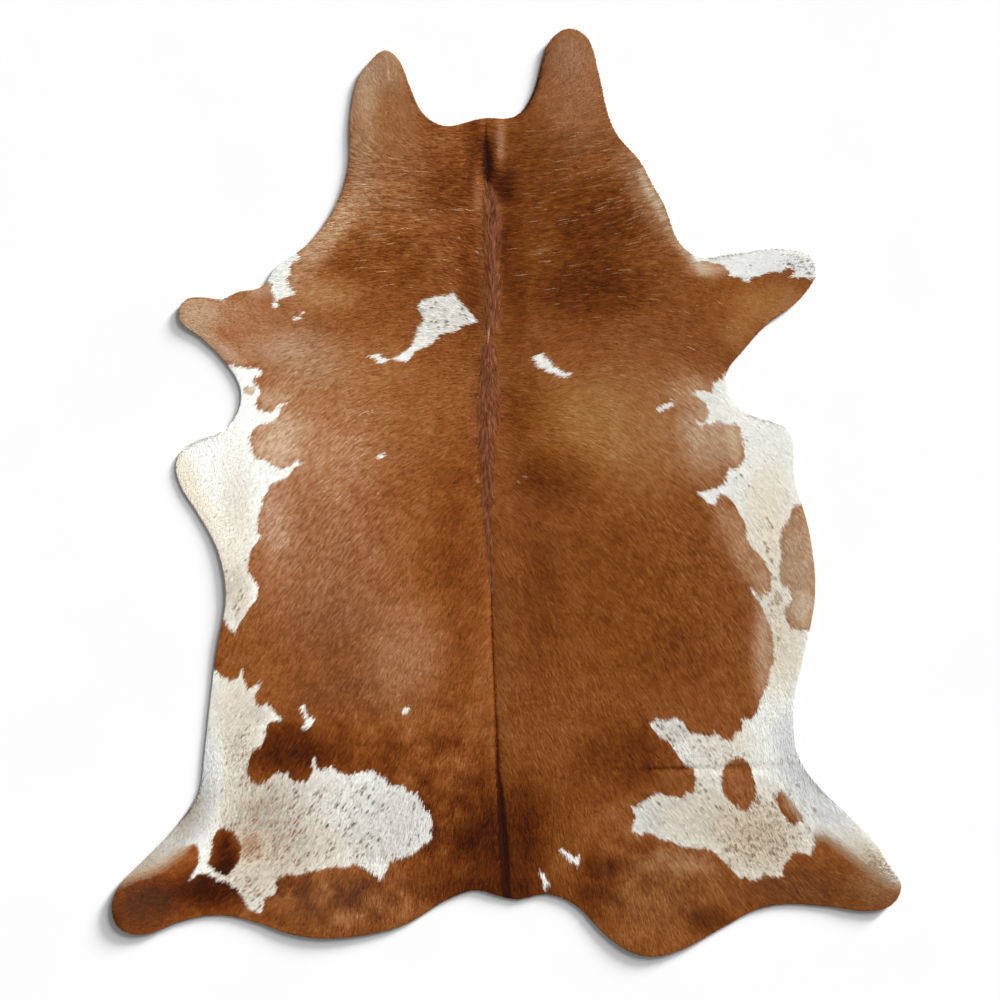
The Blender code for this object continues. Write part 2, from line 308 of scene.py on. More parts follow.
def insideOf(places, outline):                 # even and odd crossings, only within the outline's box
    held = np.zeros(len(places), bool)
    near = np.flatnonzero(((places > outline.min(0)) & (places < outline.max(0))).all(1))
    x, y = places[near].T
    odd = np.zeros(len(near), bool)
    for (x0, y0), (x1, y1) in zip(outline, np.roll(outline, -1, 0)):
        if y0 != y1:
            odd ^= ((y0 > y) != (y1 > y)) & (x < x0 + (x1 - x0) * (y - y0) / (y1 - y0))
    held[near] = odd
    return held


def isWhite(spots):                            # spots in pixels of the chart
    white = np.zeros(len(spots), bool)
    for outline in whiteAreas.values():
        white |= insideOf(spots, np.asarray(outline, float))
    for outline in brownIslands.values():
        white &= ~insideOf(spots, np.asarray(outline, float))
    return white


borderLook = {
    "ragged": 0.5,                             # pixels that a hair's colour strays from the chart
    "tuft": 1.3,                               # and a whole lock's, along the hair
    "softTo": 1.7,                             # of a soft line's reach, where the softness ends
    "tries": 14,                               # looks round a spot, in a sunflower's spiral
    "turn": 2.4,                               # radians from one look to the next
}


def whiteShare(spots, shift, dice):            # 0 brown, 1 white, and in between along the soft borders
    strayed = spots + shift + dice.normal(size=spots.shape) * borderLook["ragged"]
    share = isWhite(strayed).astype(float)
    for reach, line in softBorders.values():
        gap = lineGap(spots, np.asarray(line, float))
        closeness = np.clip(borderLook["softTo"] - gap / reach, 0, 1)
        soft = np.flatnonzero(closeness)
        blurred = np.zeros(len(soft))
        for k in range(borderLook["tries"]):
            turn = borderLook["turn"] * k
            step = np.array([math.cos(turn), math.sin(turn)]) * math.sqrt((k + 0.5) / borderLook["tries"])
            blurred += isWhite(strayed[soft] + step * (reach * closeness[soft])[:, None])
        share[soft] = blurred / borderLook["tries"]
    return share


# Shades of the brown coat: its own colour, and in broad zones painted sheen and painted shade as well.
# Columns: x, y, half width, half height, lean in degrees, then what the row adds in its middle: tone (dark
# below 0), hue (pink above 0, golden below), and fading to tan.
brownShades = {
    "left lobe": (392, 118, 28, 82, 8, 0.2, -0.15, 0.1),
    "left lobe, upper": (368, 90, 13, 24, 0, 0.2, -0.1, 0.2),
    "left lobe edge": (360, 130, 16, 80, 4, 0.3, -0.1, 0.3),
    "left lobe tip": (385, 62, 26, 26, 0, 0.28, 0.0, 0.28),
    "left neck edge": (320, 240, 18, 54, -37, 0.72, 0.0, 0.2),
    "left neck": (375, 215, 46, 34, 0, 0.2, -0.1, 0.0),
    "left neck, inner": (452, 188, 26, 24, 0, -0.35, -0.1, 0.0),
    "left neck band": (375, 262, 60, 30, 0, -0.15, -0.3, 0.0),
    "left neck low": (320, 294, 40, 20, 0, 0.5, -0.2, 0.03),
    "left foreleg": (238, 320, 62, 32, -12, 0.32, 0.3, 0.08),
    "left foreleg root": (258, 289, 13, 9, 0, 0.35, -0.1, 0.4),
    "left foreleg, hem": (260, 352, 34, 13, 0, 0.2, 0.1, 0.12),
    "left foreleg, edge": (219, 350, 9, 38, 52, 0.35, 0.1, 0.35),
    "left foreleg tip": (186, 312, 36, 22, 0, 0.25, 0.0, 0.5),
    "left shoulder": (300, 360, 40, 34, 0, 0.32, -0.1, 0.28),
    "left shoulder, inner": (362, 368, 48, 38, 0, 0.32, -0.1, 0.0),
    "left armpit, top": (272, 396, 18, 10, 0, 0.4, 0.0, 0.2),
    "left armpit": (274, 436, 30, 36, 0, 0.42, 0.1, 0.4),
    "left flank, top": (326, 444, 60, 52, 0, 0.42, 0.1, 0.08),
    "left flank rim": (272, 510, 20, 56, 8, 0.4, 0.3, 0.2),
    # beside the mane: darker, partly painted shade along the side of the mane's ridge
    "left of the spine": (470, 285, 12, 60, 0, -0.3, -0.2, 0.0),
    "parting, left": (477, 150, 11, 38, 0, -0.5, -0.3, 0.0),
    "left of the mane, light": (477.5, 188, 4.5, 24, 0, 0.5, 0.7, 0.0),
    "parting, right": (494, 162, 5, 24, 0, -0.4, 0.0, 0.0),
    "parting, low right": (504, 185, 11, 17, 0, -0.6, -0.2, 0.0),
    "parting, light": (500.5, 142, 5, 25, 0, 0.65, 0.8, 0.1),
    # this row and the next: partly painted shade along the other side of the mane's ridge
    "right of the mane": (505, 250, 4, 34, 0, -0.3, 0.0, 0.0),
    "right of the spine": (514, 262, 13, 90, 0, -0.35, -0.3, 0.0),
    "right lobe": (575, 92, 36, 56, 0, 0.03, 0.3, 0.18),
    "right lobe tip": (572, 50, 24, 26, 0, 0.15, 0.3, 0.15),
    "right neck": (545, 170, 44, 56, 0, -0.2, -0.3, 0.0),
    "right neck band": (602, 225, 60, 40, 20, -0.32, -0.8, 0.0),
    "right neck core": (594, 226, 38, 24, 20, -0.12, 0.3, 0.0),
    "right shoulder": (590, 288, 60, 32, 0, -0.5, -0.4, 0.0),
    "right neck rim": (653, 196, 6, 40, 28, 0.5, 0.0, 0.6),
    "right neck rim, inner": (644, 196, 14, 50, 28, 0.25, 0.0, 0.22),
    "right neck rim, low": (689, 253, 7, 28, 44, 0.65, 0.0, 0.5),
    "right foreleg root": (711, 269, 22, 8, 0, 0.8, 0.0, 0.3),
    "right shoulder blade": (735, 300, 50, 22, 0, -0.05, -0.4, 0.0),
    "right foreleg": (772, 305, 42, 24, 0, 0.45, -0.3, 0.0),
    "right foreleg, low": (738, 334, 16, 16, 0, 0.35, -0.3, 0.0),
    "left withers": (420, 415, 46, 46, 0, 0.15, -0.2, 0.0),
    "left of the withers": (458, 476, 30, 46, 0, -0.2, -0.1, 0.0),
    "right withers": (524, 412, 26, 34, 0, -0.25, -0.4, 0.0),
    "right back, top": (570, 420, 54, 52, 0, 0.25, -0.4, 0.0),
    "dark back patch": (556, 476, 46, 30, 0, -0.35, -0.3, 0.0),
    "right shoulder, low": (640, 428, 72, 70, 0, 0.42, -0.2, 0.0),
    "right armpit": (712, 432, 32, 42, 0, 0.55, 0.2, 0.4),
    "right armpit, top": (690, 386, 26, 18, 0, 0.3, 0.0, 0.1),
    "right armpit lobe": (738, 444, 12, 28, 0, 0.45, 0.0, 0.25),
    "left back": (455, 565, 30, 60, 0, -0.27, -0.1, 0.0),
    "left flank": (320, 555, 76, 88, 0, 0.05, 0.4, 0.16),
    "left flank, low": (340, 635, 56, 46, 0, -0.22, 0.1, 0.06),
    "left loin": (402, 655, 42, 54, 0, 0.25, 0.25, 0.13),
    "left loin, by the spine": (452, 670, 22, 56, 0, -0.15, 0.0, 0.0),
    "left loin, low": (340, 695, 56, 26, 0, -0.25, 0.0, 0.08),
    "left rump edge": (284, 750, 46, 30, 0, -0.74, -0.3, 0.0),
    "left rump, top": (350, 758, 50, 26, 0, -0.35, 0.0, 0.0),
    "left rump": (446, 832, 44, 72, 0, -0.46, 0.0, 0.0),
    "left of the tail": (484, 832, 20, 76, 0, -0.45, -0.2, 0.0),
    "right of the spine, low": (538, 590, 22, 112, 0, -0.22, 0.0, 0.0),
    "right of the tail": (520, 842, 28, 62, 0, -0.7, -0.3, 0.0),
    "tail edge": (490, 892, 90, 14, 0, -0.35, 0.0, 0.0),
    "left hind leg": (215, 888, 54, 24, 6, -0.95, -0.4, 0.0),
    "left hock": (142, 905, 34, 30, 0, -0.75, -0.9, 0.08),
    "left hock tip": (112, 924, 10, 16, 0, -0.4, 0.0, 0.0),
    "left rump low": (335, 900, 74, 32, 0, -0.28, -0.2, 0.12),
    "right back": (625, 600, 85, 104, 0, -0.1, -0.5, 0.0),
    "right flank rim": (744, 548, 17, 60, 27, 0.6, 0.0, 0.15),
    "right flank rim, low": (764, 648, 12, 56, 0, 0.75, 0.1, 0.25),
    "right flank": (680, 655, 36, 32, 0, -0.15, 0.0, 0.0),
    "right loin": (625, 755, 40, 36, 0, -0.4, -0.3, 0.0),
    "right loin, low": (560, 800, 36, 40, 0, -0.15, -0.2, 0.0),
    "right rump": (660, 896, 56, 42, 0, -0.03, -0.7, 0.1),
    "right rump, light": (680, 862, 38, 14, 0, 0.3, 0.0, 0.1),
    "right rump, dark": (600, 882, 26, 34, 0, -0.5, -0.4, 0.0),
    "right rump edge": (706, 918, 24, 16, 0, -0.5, -0.4, 0.0),
    "right hind leg": (800, 890, 60, 24, 0, -0.34, -0.5, 0.1),
    "right hock": (880, 885, 26, 20, 0, 0.0, -0.3, 0.25),
    "right belly": (802, 566, 30, 72, 0, 0.3, 0.15, 0.72),
    "right belly, low": (802, 612, 12, 20, 0, 0.5, 0.0, 0.2),
    "belly fleck": (777.5, 598, 6, 9, 0, 0.6, 0.0, 0.7),
    "armpit fleck": (249, 391, 8, 6, 0, 0.9, 0.0, 0.8),
    "island, left rump": (226, 852, 14, 22, 0, -0.82, -0.4, 0.0),
    "island, right rump": (738, 784, 16, 26, 0, 0.1, 0.1, 0.03),
    "island, right thigh": (796, 806, 9, 20, 33, 0.25, 0.0, 0.6),
}

# Shades of the white coat. The same columns, but what the row adds is dimness, hue (yellow above 0,
# orange above 1, bluish grey below 0), and the share of its flecks that are brown, not grey. The dimness is
# partly the coat's own tone and partly painted shade.
whiteShades = {
    "left armpit": (245, 396, 24, 36, 0, -0.12, 0.0, 0.0),
    "blaze": (445, 318, 40, 30, 0, 0.2, 0.1, 0.0),
    "left flank edge": (192, 496, 14, 66, 22, 0.1, 0.7, 0.3),
    "left flank": (236, 530, 20, 70, 0, 0.25, 0.4, 0.6),
    "left flank low": (236, 596, 16, 32, 0, 0.4, 0.4, 0.6),
    "left rump top": (236, 712, 28, 44, 0, 0.42, 0.6, 0.5),
    "left rump tongue": (264, 712, 16, 12, 0, 0.3, 0.0, 0.0),
    # along the left rump's edge the dimness is painted shade along the rug's rim
    "left rump edge": (204, 772, 14, 70, -6, 0.16, -0.6, 0.0),
    "left rump edge, low": (188, 804, 10, 28, -20, 0.4, -0.2, 0.0),
    "left rump sand": (264, 856, 50, 62, 0, 0.55, 0.7, 1.0),
    "left rump, middle low": (330, 850, 50, 24, 0, 0.35, 0.3, 0.4),
    "left rump orange": (251, 847, 15, 17, -20, -0.35, 0.95, -0.1),
    "left rump middle": (250, 790, 30, 50, 0, 0.3, 0.5, 0.9),
    "left rump, above the island": (308, 796, 50, 40, 0, 0.4, 0.1, 0.3),
    "left rump right": (390, 822, 46, 46, 0, 0.35, -0.3, 0.0),
    "left hock": (170, 836, 22, 60, -40, 0.68, -0.9, 0.3),
    "left hock, low": (140, 868, 14, 24, -52, 0.5, 0.6, 0.8),
    "right foreleg": (780, 268, 46, 14, 0, -0.1, 0.0, 0.7),
    "right armpit": (745, 400, 30, 34, 0, -0.1, 0.2, 0.0),
    "right flank": (768, 522, 26, 62, 0, 0.05, 0.7, 0.9),
    "right flank low": (780, 640, 26, 60, 0, 0.1, 0.7, 1.0),
    "right rump edge": (800, 745, 26, 40, 12, 0.15, -0.8, 0.0),
    "right rump": (760, 838, 50, 50, 0, 0.3, 1.0, 1.0),
    "right rump left": (690, 812, 44, 40, 0, 0.3, 0.5, 0.8),
    "right rump tip": (646, 818, 18, 20, 0, 0.25, -0.2, 0.0),
    "right rump neck": (725, 745, 34, 26, 0, 0.1, 0.4, 0.9),
    "right rump horn": (676, 732, 26, 12, 0, 0.3, 0.1, 0.8),
    "right thigh": (820, 802, 26, 50, 42, 0.12, -0.5, 0.3),
    "right thigh, low": (856, 842, 14, 28, 48, 0.25, 0.5, 0.5),
    "right hock": (878, 864, 12, 24, 48, 0.35, 0.9, 0.8),
}

# Flecks in the white coat. Columns: x, y, half width, half height, lean, share of the spots that show.
fleckRows = {
    "left rump": (330, 818, 90, 48, 0, 0.5),
    "left rump, middle": (272, 834, 40, 46, 0, 0.9),
    "left rump low": (250, 885, 30, 30, 0, 0.7),
    "left rump orange": (255, 846, 16, 17, 0, 1.8),
    "left rump top": (250, 762, 18, 38, 0, 0.6),
    "left flank": (230, 602, 16, 30, 0, 0.35),
    "left flank, middle": (238, 520, 16, 50, 0, 0.08),
    "blaze": (445, 315, 32, 22, 0, 0.5),
    "right foreleg": (800, 266, 18, 14, 0, 0.4),
    "right foreleg edge": (750, 270, 60, 10, 0, 0.15),
    "right flank strip": (772, 570, 12, 60, 0, 0.4),
    "right flank top": (748, 480, 16, 40, 0, 0.1),
    "right rump horn": (672, 735, 22, 18, 0, 0.8),
    "right rump": (762, 834, 40, 40, 0, 1.1),
    "right rump left": (690, 810, 60, 46, 0, 0.4),
    "right rump neck": (714, 745, 38, 24, 0, 0.45),
    "right hock": (884, 872, 20, 18, 0, 0.6),
}

# Single brown hairs among the white ones. The same columns.
mingledRows = {
    "left rump orange": (252, 846, 13, 15, 0, 0.3),
    "left rump": (266, 830, 36, 50, 0, 0.08),
    "left rump top": (240, 752, 12, 22, 0, 0.12),
    "left rump low": (248, 885, 26, 20, 0, 0.1),
    "right rump": (764, 836, 38, 34, 0, 0.14),
    "right rump neck": (700, 760, 40, 30, 0, 0.06),
    "right flank": (776, 600, 12, 48, 0, 0.05),
    "right foreleg": (800, 263, 20, 12, 0, 0.12),
    "right hock": (884, 872, 20, 18, 0, 0.4),
}

# Tufts and single pale hairs on the brown coat, in the same columns, with how pale they are.
paleTufts = {
    "mane tuft": (488, 336, 2.0, 5.0, 0, 1.2),
    "left of the withers": (476.5, 482, 1.6, 1.2, 0, 0.9),
    "right of the withers": (526, 477.5, 2.2, 1.0, 0, 0.8),
    "right of the withers, low": (519.5, 482.5, 1.2, 1.2, 0, 0.7),
    "left neck": (476, 252, 2.2, 1.1, -30, 0.9),
    "left neck, outer": (457, 238, 1.4, 1.1, 0, 0.8),
}

# Pale locks on the brown coat, which lie along it, with the share that show. On the neck they are partly
# painted glints of sheen along the hair and its wrinkles.
silverRows = {
    "left neck": (375, 195, 50, 46, 0, 0.12),
    "left neck, upper wrinkle": (372, 213, 20, 4, 24, 0.7),
    "left neck, lower wrinkle": (394, 232, 14, 7, 40, 0.45),
    "left neck, mane side": (458, 210, 26, 3, 0, 0.4),
    "left neck low": (400, 268, 50, 16, 0, 0.12),
    "right neck": (610, 185, 60, 80, 28, 0.28),
    "right neck low": (560, 250, 60, 40, 20, 0.12),
    "right lobe": (590, 120, 40, 40, 20, 0.15),
    "left shoulder": (350, 428, 30, 26, 0, 0.2),
    "left armpit": (285, 445, 26, 24, 0, 0.1),
    "left flank": (330, 490, 40, 16, 0, 0.1),
    "right shoulder": (680, 320, 60, 60, 0, 0.05),
    "right armpit": (690, 400, 40, 20, 0, 0.12),
    "right flank": (730, 470, 30, 40, 0, 0.04),
}

# Where the locks stand out more from each other. The same columns, with what is added to 1.
rippleRows = {
    "left neck": (390, 190, 110, 100, 0, 0.9),
    "right neck": (600, 190, 100, 110, 20, 0.7),
    "left flank": (330, 480, 90, 130, 0, 0.5),
    "right flank": (690, 560, 60, 110, 0, 0.4),
    "left rump": (300, 830, 140, 60, 0, 0.4),
    "right rump": (740, 830, 100, 60, 0, 0.4),
}

# Where the coat is short and lies close. The same columns, with how much.
shortRows = {
    "left lobe": (385, 90, 46, 64, 0, 0.9),
    "right lobe": (574, 84, 50, 64, 0, 0.9),
    "left foreleg": (218, 318, 64, 46, 0, 0.9),
    "right foreleg": (768, 286, 74, 48, 0, 0.8),
    "left flank tip": (205, 480, 46, 60, 0, 0.8),
    "right armpit": (760, 430, 34, 60, 0, 0.6),
    "right belly": (802, 566, 26, 70, 0, 0.5),
    "left rump edge": (205, 770, 22, 90, 0, 0.6),
    "left hock": (140, 895, 60, 40, 0, 0.7),
    "right hock": (868, 866, 46, 44, 0, 0.7),
}

# Darker and lighter patches in the brown coat. The same columns, with how much they differ.
mottleRows = {
    "left rump low": (340, 900, 90, 34, 0, 0.8),
    "left rump": (430, 790, 60, 90, 0, 0.7),
    "left loin": (360, 730, 70, 30, 0, 0.4),
    "right rump": (640, 860, 80, 70, 0, 0.6),
    "right loin": (600, 760, 60, 50, 0, 0.3),
    "left neck": (400, 240, 80, 50, 0, 0.3),
    "back": (500, 540, 200, 160, 0, 0.15),
}


def within(spots, row):                        # 1 in a row's middle, falling off round its oval
    x, y, wide, high, lean = row[:5]
    turn = math.radians(lean)
    offset = spots - (x, y)
    across = offset @ (math.cos(turn), -math.sin(turn)) / wide
    along = offset @ (math.sin(turn), math.cos(turn)) / high
    return np.exp(-(across ** 2 + along ** 2) ** 1.5)


def addUp(spots, rows):                        # what all rows of a table add, column by column
    total = 0
    for row in rows.values():
        total = total + within(spots, row)[:, None] * row[5:]
    return total


def strongest(spots, rows):
    return np.max([within(spots, row) * row[5] for row in rows.values()], axis=0)


# The spine. Columns: y, x, half width of the mane, half width of the dark parting, its darkness.
spineRows = np.array([
    (118, 485.5, 0.0, 1.0, 0.6),
    (135, 486, 0.0, 2.0, 0.9),
    (150, 486.5, 0.0, 4.2, 1.0),
    (166, 487.5, 0.0, 4.8, 1.0),
    (182, 487.5, 0.0, 3.4, 0.9),
    (188, 488, 5.0, 1.5, 0.4),
    (200, 490, 10.0, 1.5, 0.0),
    (225, 492.5, 11.5, 1.5, 0.0),
    (250, 492.5, 11.0, 1.5, 0.0),
    (265, 492.5, 9.5, 1.5, 0.0),
    (290, 493, 11.5, 1.5, 0.0),
    (325, 492.5, 12.5, 1.5, 0.0),
    (337, 489, 5.0, 1.5, 0.0),
    (350, 489, 10.0, 1.5, 0.0),
    (380, 490, 13.5, 1.5, 0.0),
    (405, 489, 14.5, 1.5, 0.0),
    (440, 487.5, 12.0, 1.5, 0.0),
    (480, 487.5, 8.5, 1.5, 0.0),
    (520, 487.5, 6.0, 1.5, 0.3),
    (578, 491, 2.5, 1.6, 0.6),
    (631, 492, 0.0, 1.6, 0.6),
    (709, 495.5, 0.0, 1.8, 0.6),
    (770, 498, 0.0, 2.4, 0.8),
    (800, 501, 0.0, 3.0, 1.0),
    (850, 504, 0.0, 3.6, 1.0),
    (905, 507, 0.0, 3.6, 1.0),
])


def spineAt(spots):
    return [np.interp(spots[:, 1], spineRows[:, 0], column) for column in spineRows.T[1:]]


# Dark lines where the hide was folded: painted shade along each crease; where the darkness is below 0 the
# line is lighter instead.
foldRows = {
    "right hind leg": (1.8, 0.65, [(650, 768.5), (693, 767.5)]),
    "right hind leg, outer": (1.3, 0.45, [(693, 767.5), (760, 763.5), (806, 762)]),
    "right hind leg, inner": (1.6, 0.15, [(612, 768), (650, 768.5)]),
    "right thigh": (1.2, 0.25, [(805, 815), (845, 815)]),
    "left rump": (2.0, 0.1, [(330, 745), (480, 744)]),
    "left loin": (1.5, 0.15, [(405, 686), (432, 685)]),
    "left lobe": (1.2, -0.3, [(386, 55), (389, 80)]),
}

# The way that the hair lies. Columns: x, y, heading in degrees, 0 to the right and 90 to the neck.
leftFlow = {
    "lobe tip": (385, 66, 110), "lobe": (380, 110, 125), "neck top": (450, 140, 178),
    "neck": (400, 200, 182), "neck edge": (340, 225, 192), "neck by the spine": (472, 230, 168),
    "blaze top": (466, 305, 152), "blaze": (436, 322, 172), "below the blaze": (410, 355, 205),
    "neck low": (380, 275, 188), "shoulder": (330, 310, 200), "foreleg root": (270, 320, 196),
    "foreleg": (200, 308, 182), "armpit": (262, 400, 228), "flank top": (300, 440, 224),
    "withers": (460, 400, 200), "by the mane": (470, 350, 184), "by the parting": (482, 155, 196),
    "below the withers": (455, 470, 216), "back": (450, 560, 240), "flank": (330, 560, 232),
    "flank edge": (200, 490, 242), "flank low": (245, 640, 240), "loin": (430, 700, 246),
    "rump top": (245, 705, 232), "rump edge": (208, 780, 258), "rump": (330, 820, 236),
    "rump by the spine": (460, 840, 258), "hock": (145, 905, 205), "hind leg": (220, 892, 222),
    "tail": (400, 900, 262),
}
rightFlow = {
    "lobe tip": (572, 52, 70), "lobe": (570, 100, 34), "neck top": (520, 140, 4), "neck side": (605, 140, 8),
    "neck by the spine": (515, 230, 6), "neck": (580, 200, 14), "neck edge": (648, 205, 24),
    "neck low": (600, 262, 12), "shoulder": (650, 300, -8), "foreleg": (790, 268, 2),
    "foreleg root": (720, 310, -18), "armpit": (715, 400, -46), "withers": (525, 400, -14),
    "by the mane": (510, 350, 0), "by the parting": (494, 155, -16), "below the withers": (525, 470, -34),
    "sliver": (552, 366, 30), "back": (530, 560, -60), "flank top": (660, 430, -42),
    "flank": (660, 560, -52), "flank edge": (780, 520, -58), "flank low": (760, 640, -60),
    "loin": (560, 700, -66), "rump top": (680, 745, -58), "rump edge": (800, 740, -84),
    "rump": (760, 830, -64), "rump middle": (680, 820, -54), "rump by the spine": (530, 840, -80),
    "hock": (880, 885, -22), "hind leg": (800, 895, -45), "tail": (620, 900, -76),
}


def headingOf(spots):                          # blended from the rows on the hair's own side of the spine
    heading = np.zeros(len(spots))
    right = spots[:, 0] > spineAt(spots)[0]
    for side, rows in ((~right, leftFlow), (right, rightFlow)):
        x, y, angle = np.array(list(rows.values()), float).T
        own = spots[side]
        gap = np.hypot(own[:, :1] - x, own[:, 1:] - y)
        weight = 1 / (gap + 6) ** 3
        angle = np.radians(angle)
        heading[side] = np.arctan2(weight @ np.sin(angle), weight @ np.cos(angle))
    return heading


# Cells and sizes are in pixels of the chart, along and across the hair.
maneLook = {"ragged": 1.0, "turnsAt": 337, "fan": 14, "follows": 0.3}
spotLook = {"cell": (5.2, 5.2), "size": (1.8, 0.9), "seed": 3.0}
lockLook = {"cell": (11.0, 2.4), "size": (5.2, 0.28), "seed": 8.0, "offSpine": 12}
fleckLook = {"clump": 8.0, "seed": 7.0, "lone": 0.7}
rippleLook = {"cell": 1.0, "step": 1.5, "looks": 4, "seed": 5.0, "strength": 3.4}
mottleLook = {"cell": 17.0, "seed": 9.0, "finer": 0.6, "middle": 0.8}


def luckOf(home, seed, count):                 # the same few random numbers for the same cell
    key = np.sin(home @ (12.9898, 78.233) + seed) * 43758.5453
    return [(key * k) % 1.0 for k in (1.0, 7.31, 13.7, 29.9)[:count]]


def scattered(spots, heading, look, share):    # small ovals strewn one to a cell, 0 to 1
    turn = np.stack([np.cos(heading), -np.sin(heading)], 1)
    cell = np.array(look["cell"])
    found = np.zeros(len(spots))
    for step in np.ndindex(3, 3):
        home = np.floor(spots / cell) + np.array(step) - 1
        luck, shiftX, shiftY, size = luckOf(home, look["seed"], 4)
        centre = (home + 0.1 + 0.8 * np.stack([shiftX, shiftY], 1)) * cell
        offset = spots - centre
        along = (offset * turn).sum(1) / look["size"][0]
        across = (offset[:, 0] * turn[:, 1] - offset[:, 1] * turn[:, 0]) / look["size"][1]
        reach = 0.5 + 0.9 * size
        oval = np.clip(2.5 - 2 * np.hypot(along, across) / reach, 0, 1)
        found = np.maximum(found, oval * (luck < share) * (0.7 + 0.3 * shiftX))
    return found


def valueNoise(spots, cell, seed):             # smooth, 0 to 1
    home = np.floor(spots / cell)
    share = spots / cell - home
    share = share * share * (3 - 2 * share)
    total = np.zeros(len(spots))
    for step in np.ndindex(2, 2):
        weight = np.prod(np.where(step, share, 1 - share), axis=1)
        total += weight * luckOf(home + np.array(step), seed, 1)[0]
    return total


def rippled(spots, heading):                   # light and dark locks drawn out along the hair, about -1 to 1
    turn = np.stack([np.cos(heading), -np.sin(heading)], 1)
    looks = rippleLook["looks"]
    total = np.zeros(len(spots))
    for k in range(looks):
        drawn = spots + turn * rippleLook["step"] * (k - looks / 2)
        total += valueNoise(drawn, rippleLook["cell"], rippleLook["seed"]) - 0.5
    return total * rippleLook["strength"] / math.sqrt(looks)


def coatAt(places, dice):                      # everything that a hair's colour needs, at its own spot
    spots = onChart(places)
    heading = headingOf(spots)
    spineX, maneHalf, partHalf, partDark = spineAt(spots)
    offSpine = spots[:, 0] - spineX
    strayed = np.abs(offSpine + maneLook["ragged"] * dice.normal(size=len(spots)))
    mane = np.clip(1.9 * (1 - strayed / np.maximum(maneHalf, 0.5)) + 0.15, 0, 1) * (maneHalf > 1.5)
    below = spots[:, 1] > maneLook["turnsAt"]
    maneHeading = np.where(below, -math.pi / 2, math.pi / 2)
    fan = np.radians(maneLook["fan"])
    maneHeading += fan * offSpine / np.maximum(maneHalf, 1) * np.where(below, 1, -1)
    heading = np.where(mane > maneLook["follows"], maneHeading, heading)
    brown = addUp(spots, brownShades)
    mottle = valueNoise(spots, mottleLook["cell"], mottleLook["seed"])
    mottle += mottleLook["finer"] * valueNoise(spots, mottleLook["cell"] / 2, mottleLook["seed"] + 1)
    brown[:, 0] += (mottle - mottleLook["middle"]) * strongest(spots, mottleRows)
    brown[:, 0] -= partDark * np.clip(1.5 - np.abs(offSpine) / partHalf, 0, 1)
    white = addUp(spots, whiteShades)
    for reach, dark, line in foldRows.values():
        shadow = dark * np.clip(1.4 - lineGap(spots, np.asarray(line, float)) / reach, 0, 1)
        brown[:, 0] -= shadow
        white[:, 0] += 0.7 * shadow
    clump = np.clip(4 * valueNoise(spots, fleckLook["clump"], fleckLook["seed"]) - 1.2, 0, 1.5)
    share = strongest(spots, fleckRows) * clump
    fleck = scattered(spots, heading, spotLook, share) * np.clip(0.7 + 0.4 * share, 0, 1)
    lone = dice.random(len(spots)) < strongest(spots, mingledRows)
    silver = scattered(spots, heading, lockLook, strongest(spots, silverRows))
    silver = silver * (np.abs(offSpine) > lockLook["offSpine"])
    short = strongest(spots, shortRows)
    ripple = rippled(spots, heading)
    tuft = (borderLook["tuft"] * ripple)[:, None] * np.stack([np.cos(heading), -np.sin(heading)], 1)
    return {
        "heading": heading,
        "white": whiteShare(spots, tuft, dice),
        "fleck": np.maximum(fleck, lone * fleckLook["lone"]),
        "silver": np.maximum(silver, strongest(spots, paleTufts)),
        "ripple": (ripple * (1 + strongest(spots, rippleRows)) * (1 - short)
                   + dice.normal(size=len(spots)) * short),
        "mane": mane,
        "short": short,
        "shadow": np.zeros(len(spots)),
        "brownShade": brown,
        "whiteShade": white,
    }


def store(mesh, name, values):                 # a number or a vector for each point
    kind, field = ("FLOAT", "value") if values.ndim == 1 else ("FLOAT_VECTOR", "vector")
    kept = mesh.attributes.new(name, kind, "POINT")
    kept.data.foreach_set(field, values.astype(np.float32).ravel())


def storeCoat(mesh, coat):
    for name in ("white", "fleck", "silver", "ripple", "mane", "shadow", "brownShade", "whiteShade"):
        store(mesh, name, coat[name])


# ---- materials ----

coatPaint = {
    "brown": [                                 # from the darkest tone to the lightest
        (0.0, paint(52, 16, 1)),
        (0.15, paint(86, 36, 3)),
        (0.3, paint(110, 53, 12)),
        (0.45, paint(135, 74, 26)),
        (0.6, paint(156, 96, 50)),
        (0.8, paint(178, 125, 82)),
        (1.0, paint(203, 166, 128)),
    ],
    "pink": (1.0, 1.0, 1.42, 1.0),             # tints, multiplied in
    "golden": (0.97, 0.96, 0.50, 1.0),
    "faded": [(0.35, paint(150, 118, 86)), (0.65, paint(186, 160, 130)), (0.95, paint(216, 198, 174))],
    "mane": paint(88, 36, 16),
    "maneLight": paint(152, 98, 72),
    "silver": paint(216, 174, 134),
    "border": paint(170, 142, 112),            # halfway where the two colours fade into each other
    "white": paint(245, 246, 240),
    "yellow": paint(240, 226, 198),
    "orange": paint(174, 126, 84),
    "blue": paint(214, 218, 223),
    "dim": paint(172, 162, 146),
    "greyFleck": paint(88, 76, 66),
    "brownFleck": paint(134, 84, 54),
    "orangeFleck": paint(166, 98, 44),
}
coatNoise = {"cloud": 24.0, "cloudTone": 0.2, "lump": 60.0, "lumpTone": 0.14, "lock": 150.0, "lockTone": 0.12}


